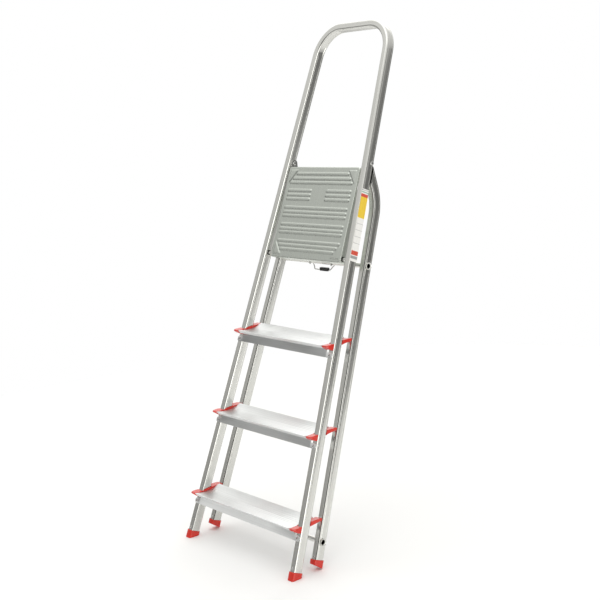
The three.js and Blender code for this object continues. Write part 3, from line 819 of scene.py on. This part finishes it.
def moulded(node, voxel=0.8, rounds=9):
    """The CAD solid with its edges and corners softened as a moulding's are."""
    piece = linked(detail_name(node), frame["nodes"][node].data.copy())
    remesh = piece.modifiers.new("remesh", "REMESH")
    remesh.mode = "VOXEL"
    remesh.voxel_size = voxel * MM
    soften = piece.modifiers.new("soften", "SMOOTH")
    soften.factor = 0.5
    soften.iterations = rounds
    apply_modifiers(piece)
    finish_piece(piece, node, local_points(piece, STILE), sharp=180)


def plastic_pieces():
    """The tread end caps, the feet and the catch's block."""
    for word, _ in SIDES:
        for i in range(1, TREAD_COUNT + 1):
            moulded(f"tread_cap_{i}_{word}")
        moulded(f"front_foot_{word}")
        moulded(f"rear_foot_{word}")
    moulded("catch_block", voxel=0.5, rounds=4)


# ---- platform ----

DECK_FOLD = 3.0  # outer radius of the fold between face and flanges
DECK_ROUND = 5.0  # how round the face's corners are, within the fold
GRID_X, GRID_Z = 2.0, 1.0  # the mesh's spacing
RIB_HALF, RIB_SLOPE, RIB_LIFT = 5.0, 2.5, 1.5
RIB_END, RIB_BREAK = 131, 36  # how far out ribs end, and where the broken ones start
CORNER_X, CORNER_Z = 34, 42
CORNER_MARGIN = 8
FIELD_HALF, FIELD_LOW, FIELD_HIGH = 141, 847, 1095
NOTCH_RUN = 6


def rib_lines():
    """The pressed ribs as (height, from x, to x)."""
    lines = []
    for height in (863.5, 875.5, 887.5, 1057.5, 1069.5, 1083.5):
        from_edge = min(height - FIELD_LOW, FIELD_HIGH - height)
        corner = CORNER_X * max(1 - from_edge / CORNER_Z, 0)
        end = min(RIB_END, FIELD_HALF - CORNER_MARGIN - corner)
        lines.append((height, -end, end))
    for height in (912.5, 922.5, 935.5, 960.5, 971.5, 984.5):
        lines.append((height, -RIB_END, RIB_END))
    for height in (1009.5, 1021.5, 1034.5):
        lines.append((height, -RIB_END, -RIB_BREAK))
        lines.append((height, RIB_BREAK, RIB_END))
    return lines


RIB_LINES = rib_lines()


def corner_field(x, z):
    """How far inside one of the four triangular corner fields a point is, in millimetres."""
    from_side = FIELD_HALF - abs(x)
    from_end = min(z - FIELD_LOW, FIELD_HIGH - z)
    slope = (1 - from_side / CORNER_X - from_end / CORNER_Z) / math.hypot(1 / CORNER_X, 1 / CORNER_Z)
    return min(from_side, from_end, slope)


def pressed_height(x, z):
    """How far the platform's face stands proud at a point."""
    height = RIB_LIFT * smooth_step(corner_field(x, z) / RIB_SLOPE)
    for line, low, high in RIB_LINES:
        if abs(z - line) < RIB_HALF:
            beyond = max(low - x, x - high, 0)
            inside = RIB_HALF - math.hypot(z - line, beyond)
            height = max(height, RIB_LIFT * smooth_step(inside / RIB_SLOPE))
    return height


def flange_depth(z):
    """Depth of the side flange at a height: deep at the pivot, a lip over the tube, shallow above it."""
    if z < NOTCH_FROM:
        share = max(z - NOTCH_SLOPE, 0) / (NOTCH_FROM - NOTCH_SLOPE)
        return FLANGE_DEEP + (FLANGE_LIP - FLANGE_DEEP) * share
    return FLANGE_LIP + (FLANGE_TOP - FLANGE_LIP) * smooth_step((z - NOTCH_TO + NOTCH_RUN) / NOTCH_RUN)


# Beyond the deck's core, rings run over the face's edge (to 1), the fold (to 2) and the flange (to 3).
EDGE_RINGS = [0.25, 0.5, 0.75, 1.0, 1.2, 1.4, 1.6, 1.8, 2.0, 2.06, 2.3, 2.6, 3.0]


def axis_stations(half, step):
    """Positions across the deck: (core position, ring) pairs from one flange's edge to the other's."""
    count = math.ceil(2 * half / step)
    core = [(-half + 2 * half * i / count, 0.0) for i in range(count + 1)]
    low = [(-half, -ring) for ring in reversed(EDGE_RINGS)]
    high = [(half, ring) for ring in EDGE_RINGS]
    return low + core + high


def deck_point(u, v):
    """A point of the tray's outer skin from its two stations."""
    (core_x, ring_x), (core_z, ring_z) = u, v
    ring = max(abs(ring_x), abs(ring_z))
    middle_z = (DECK_BOTTOM + DECK_TOP) / 2
    if ring == 0:
        z = middle_z + core_z
        return core_x, DECK_FACE - pressed_height(core_x, z), z
    way = Vector((ring_x, ring_z)).normalized()
    fold = math.pi / 2 * min(max(ring - 1, 0), 1)
    out = DECK_ROUND * min(ring, 1) + DECK_FOLD * math.sin(fold)
    x = core_x + out * way.x
    z = middle_z + core_z + out * way.y
    depth = DECK_FOLD * (1 - math.cos(fold))
    if ring > 2:
        depth += (flange_depth(z) - DECK_FOLD) * (ring - 2)
    lift = pressed_height(x, z) if ring <= 1 else 0
    return x, DECK_FACE - lift + depth, z


def platform_deck():
    """The pressed platform: ribbed face, four corner fields, and flanges folded back all round."""
    inset = DECK_FOLD + DECK_ROUND
    columns = axis_stations(DECK_HALF - inset, GRID_X)
    rows = axis_stations((DECK_TOP - DECK_BOTTOM) / 2 - inset, GRID_Z)
    points = [deck_point(u, v) for v in rows for u in columns]
    wide = len(columns)
    faces = []
    for j in range(len(rows) - 1):
        for i in range(wide - 1):
            corner = j * wide + i
            faces.append((corner, corner + 1, corner + wide + 1, corner + wide))
    piece = new_piece(detail_name("platform_deck"), [STILE @ Vector(p) for p in points], faces)
    thicken = piece.modifiers.new("sheet", "SOLIDIFY")
    thicken.thickness = DECK_SKIN * MM
    thicken.offset = -1
    outward = STILE.to_3x3() @ Vector((0, -1, 0))
    centre_face = piece.data.polygons[(len(rows) // 2) * (wide - 1) + wide // 2]
    if centre_face.normal.dot(outward) < 0:
        piece.data.flip_normals()
    apply_modifiers(piece)
    finish_piece(piece, "platform_deck", local_points(piece, STILE), sharp=60)


# ---- hinge brackets, catch and label ----


def plate(outline, from_x, to_x):
    """A flat plate on the right side, its outline of (y, z) between two x in that side's own frame."""
    rings = [[tuple(RIGHT_SIDE @ Vector((x, y, z))) for y, z in outline] for x in (from_x, to_x)]
    return skin(rings, closed=False)


def hinge_brackets():
    """Flat plates from the hinge pins to the rear legs, rounded at both ends."""
    eye, end, thickness, reach = 11.0, 10.0, 2.2, 1036
    axis = (STILE.inverted() @ REAR).inverted() @ Vector((0, HINGE_Y, HINGE_Z))
    axis_z = axis.z / math.cos(SLANT)
    last_y, last_z, _ = leg_line(reach)
    along = math.degrees(math.atan2(last_z - axis_z, last_y - axis.y))
    outline = list(arc(axis.y, axis_z, eye, along + 90, along + 270, 24))
    outline += list(arc(last_y, last_z, end, along - 90, along + 90, 24))
    face = -TUBE_WIDTH / 2 - GAP
    points, faces = plate(outline, face - thickness, face)
    for word, side in SIDES:
        node = f"hinge_bracket_{word}"
        piece = new_piece(detail_name(node), [REAR @ Vector(p) for p in flipped(points, side)], faces)
        bevelled(piece, width=0.5, segments=3)
        finish_piece(piece, node, local_points(piece, REAR), sharp=30)


BAIL_WIRE, BAIL_EYE, BAIL_TOP, BAIL_BOTTOM, BAIL_DROP = 1.6, 9.2, 46, 32, 23
EYE_TURN = range(-70, 201, 15)  # degrees that an eye runs round the tube


def catch_bail():
    """A bent wire whose open eyes ride on the upper cross tube, with a straight bar below."""
    side = []
    for degrees in EYE_TURN:
        angle = math.radians(degrees)
        side.append((BAIL_TOP, -BAIL_EYE * math.cos(angle), BAIL_EYE * math.sin(angle)))
    side += [(BAIL_TOP - 1, BAIL_EYE * 0.8, -BAIL_EYE), (BAIL_TOP - 6, 5.4, -14)]
    side += [(BAIL_BOTTOM + 3.5, 2.4, -BAIL_DROP + 3.4), (BAIL_BOTTOM, 0.6, -BAIL_DROP + 0.3)]
    side += [(BAIL_BOTTOM - 4, 0, -BAIL_DROP)]
    route = [(-x, y, z) for x, y, z in side] + [(0, 0, -BAIL_DROP)] + side[::-1]
    curve = bpy.data.curves.new("bail", "CURVE")
    curve.dimensions = "3D"
    curve.bevel_depth = BAIL_WIRE * MM
    curve.bevel_resolution = 5
    curve.resolution_u = 5
    curve.use_fill_caps = True
    spline = curve.splines.new("BEZIER")
    spline.bezier_points.add(len(route) - 1)
    for knot, point in zip(spline.bezier_points, route):
        knot.co = CATCH @ Vector(point)
        knot.handle_left_type = "AUTO"
        knot.handle_right_type = "AUTO"
    wire = linked("wire", curve)
    piece = linked(detail_name("catch_bail"), evaluated_mesh(wire))
    bpy.data.objects.remove(wire)
    finish_piece(piece, "catch_bail", along_x(local_points(piece, CATCH)), sharp=50)


LABEL_FROM, LABEL_TO, LABEL_WIDTH, LABEL_FILM, LABEL_ROUND = 848, 1046, 24, 0.4, 2.0


def side_label():
    """A thin film with rounded corners on the right stile's outer face."""
    reach = LABEL_WIDTH / 2 - LABEL_ROUND
    low, high = LABEL_FROM + LABEL_ROUND, LABEL_TO - LABEL_ROUND
    outline = []
    for way, z, start in ((1, high, 0), (-1, high, 90), (-1, low, 180), (1, low, 270)):
        outline += list(arc(TUBE_DEPTH / 2 + way * reach, z, LABEL_ROUND, start, start + 90, 5))
    face = TUBE_WIDTH / 2 + GAP
    points, faces = plate(outline, face, face + LABEL_FILM)
    grain = [(y, x, (z - LABEL_FROM) / (LABEL_TO - LABEL_FROM)) for x, y, z in points]
    drawn("side_label", points, faces, STILE, grain)


# ---- studio ----

# Brightness of the room by elevation in degrees, as metal sees it.
ROOM = (
    (-90, 0.6), (-16, 0.68), (-9, 0.32), (-4, 0.13), (2, 0.17),
    (9, 0.45), (17, 0.62), (31, 0.88), (50, 1.05), (90, 1.15),
)
ROOM_COLOUR = (1, 0.995, 0.975, 1)

# Lighter and darker parts of the room: where each is, the cosines it fades in between, and the change.
GLOWS = (
    ((-0.67, 0.67, 0.30), 0.80, 0.93, 0.95),
    ((0.92, -0.38, -0.05), 0.88, 0.95, 2.3),
    ((0.05, -1.0, 0.25), 0.90, 0.97, -0.35),
)


def glow(tree, direction, aim, start, stop, brightness):
    """Brightness around one direction of the room."""
    dot = tree.nodes.new("ShaderNodeVectorMath")
    dot.operation = "DOT_PRODUCT"
    dot.inputs[1].default_value = Vector(aim).normalized()
    tree.links.new(direction, dot.inputs[0])
    fade = tree.nodes.new("ShaderNodeMapRange")
    fade.interpolation_type = "SMOOTHSTEP"
    for key, number in (("From Min", start), ("From Max", stop), ("To Max", brightness)):
        fade.inputs[key].default_value = number
    tree.links.new(dot.outputs["Value"], fade.inputs["Value"])
    return fade.outputs["Result"]


def room_brightness(tree):
    """The brightness of ROOM and GLOWS in each direction."""
    where = tree.nodes.new("ShaderNodeTexCoord").outputs["Generated"]
    split = tree.nodes.new("ShaderNodeSeparateXYZ")
    ramp = tree.nodes.new("ShaderNodeValToRGB")
    lift = tree.nodes.new("ShaderNodeMapRange")
    lift.inputs["From Min"].default_value = -1
    tree.links.new(where, split.inputs[0])
    tree.links.new(split.outputs["Z"], lift.inputs["Value"])
    tree.links.new(lift.outputs["Result"], ramp.inputs["Fac"])
    elements = ramp.color_ramp.elements
    for index, (elevation, grey) in enumerate(ROOM):
        place = (math.sin(math.radians(elevation)) + 1) / 2
        element = elements[index] if index < 2 else elements.new(place)
        element.position = place
        element.color = (grey, grey, grey, 1)
    total = ramp.outputs["Color"]
    for aim, start, stop, brightness in GLOWS:
        add = tree.nodes.new("ShaderNodeMath")
        add.operation = "ADD"
        tree.links.new(total, add.inputs[0])
        tree.links.new(glow(tree, where, aim, start, stop, brightness), add.inputs[1])
        total = add.outputs["Value"]
    return total


def studio_world():
    """A white room to the camera. Its reflections are dim near the horizon and bright overhead."""
    world = bpy.data.worlds.new("studio")
    world.use_nodes = True
    bpy.context.scene.world = world
    tree = world.node_tree
    tree.nodes.clear()
    room = tree.nodes.new("ShaderNodeBackground")
    room.inputs["Color"].default_value = ROOM_COLOUR
    tree.links.new(room_brightness(tree), room.inputs["Strength"])
    white = tree.nodes.new("ShaderNodeBackground")
    white.inputs["Color"].default_value = (1, 1, 1, 1)
    path = tree.nodes.new("ShaderNodeLightPath")
    mix = tree.nodes.new("ShaderNodeMixShader")
    output = tree.nodes.new("ShaderNodeOutputWorld")
    tree.links.new(path.outputs["Is Camera Ray"], mix.inputs[0])
    tree.links.new(room.outputs[0], mix.inputs[1])
    tree.links.new(white.outputs[0], mix.inputs[2])
    tree.links.new(mix.outputs[0], output.inputs["Surface"])


FLOOR_RADIUS, FLOOR_SIDES = 2.3, 96


def floor():
    """A round pale floor under the ladder."""
    turns = [2 * math.pi * i / FLOOR_SIDES for i in range(FLOOR_SIDES)]
    points = [(FLOOR_RADIUS * math.cos(turn), FLOOR_RADIUS * math.sin(turn), 0) for turn in turns]
    mesh = bpy.data.meshes.new("floor")
    mesh.from_pydata(points, [], [tuple(range(FLOOR_SIDES))])
    nodes = Nodes("floor")
    nodes.shader.inputs["Base Color"].default_value = (0.93, 0.93, 0.925, 1)
    nodes.shader.inputs["Roughness"].default_value = 0.75
    mesh.materials.append(nodes.material)
    linked("floor", mesh)


def soft_light(name, place, aim, size, power):
    """A round lamp of a size in metres and a power in watts, turned to a point."""
    data = bpy.data.lights.new(name, "AREA")
    data.shape = "DISK"
    data.size = size
    data.energy = power
    light = linked(name, data)
    light.location = place
    light.rotation_mode = "QUATERNION"
    light.rotation_quaternion = (Vector(place) - Vector(aim)).to_track_quat("Z", "Y")


CAMERA_PLACE = Vector((2.5612, -2.0475, 1.2577))
CAMERA_AZIMUTH = math.radians(51.395)
CAMERA_ELEVATION = math.radians(10.264)
CAMERA_ROLL = math.radians(-4.627)
LENS, SENSOR = 72, 36


def camera():
    """The scene's camera. Azimuth and elevation give the direction back to it."""
    data = bpy.data.cameras.new("camera")
    data.lens = LENS
    data.sensor_width = SENSOR
    viewer = linked("camera", data)
    flat, rise = math.cos(CAMERA_ELEVATION), math.sin(CAMERA_ELEVATION)
    away = Vector((math.sin(CAMERA_AZIMUTH) * flat, -math.cos(CAMERA_AZIMUTH) * flat, rise))
    viewer.location = CAMERA_PLACE
    viewer.rotation_mode = "QUATERNION"
    viewer.rotation_quaternion = away.to_track_quat("Z", "Y") @ Quaternion((0, 0, 1), CAMERA_ROLL)
    bpy.context.scene.camera = viewer


def studio():
    """The room, the floor, the lamp and the camera."""
    bpy.context.scene.view_settings.view_transform = "Standard"
    studio_world()
    floor()
    soft_light("overhead", place=(-0.3, -0.4, 3.4), aim=(0, 0, 0.5), size=3.6, power=18)
    camera()


# ---- the ladder ----

studio()
front_hoop()
rear_legs()
treads()
plastic_pieces()
platform_deck()
rivets()
pivots()
for tube in CROSS_TUBES:
    cross_tube(tube)
hinge_brackets()
catch_bail()
side_label()
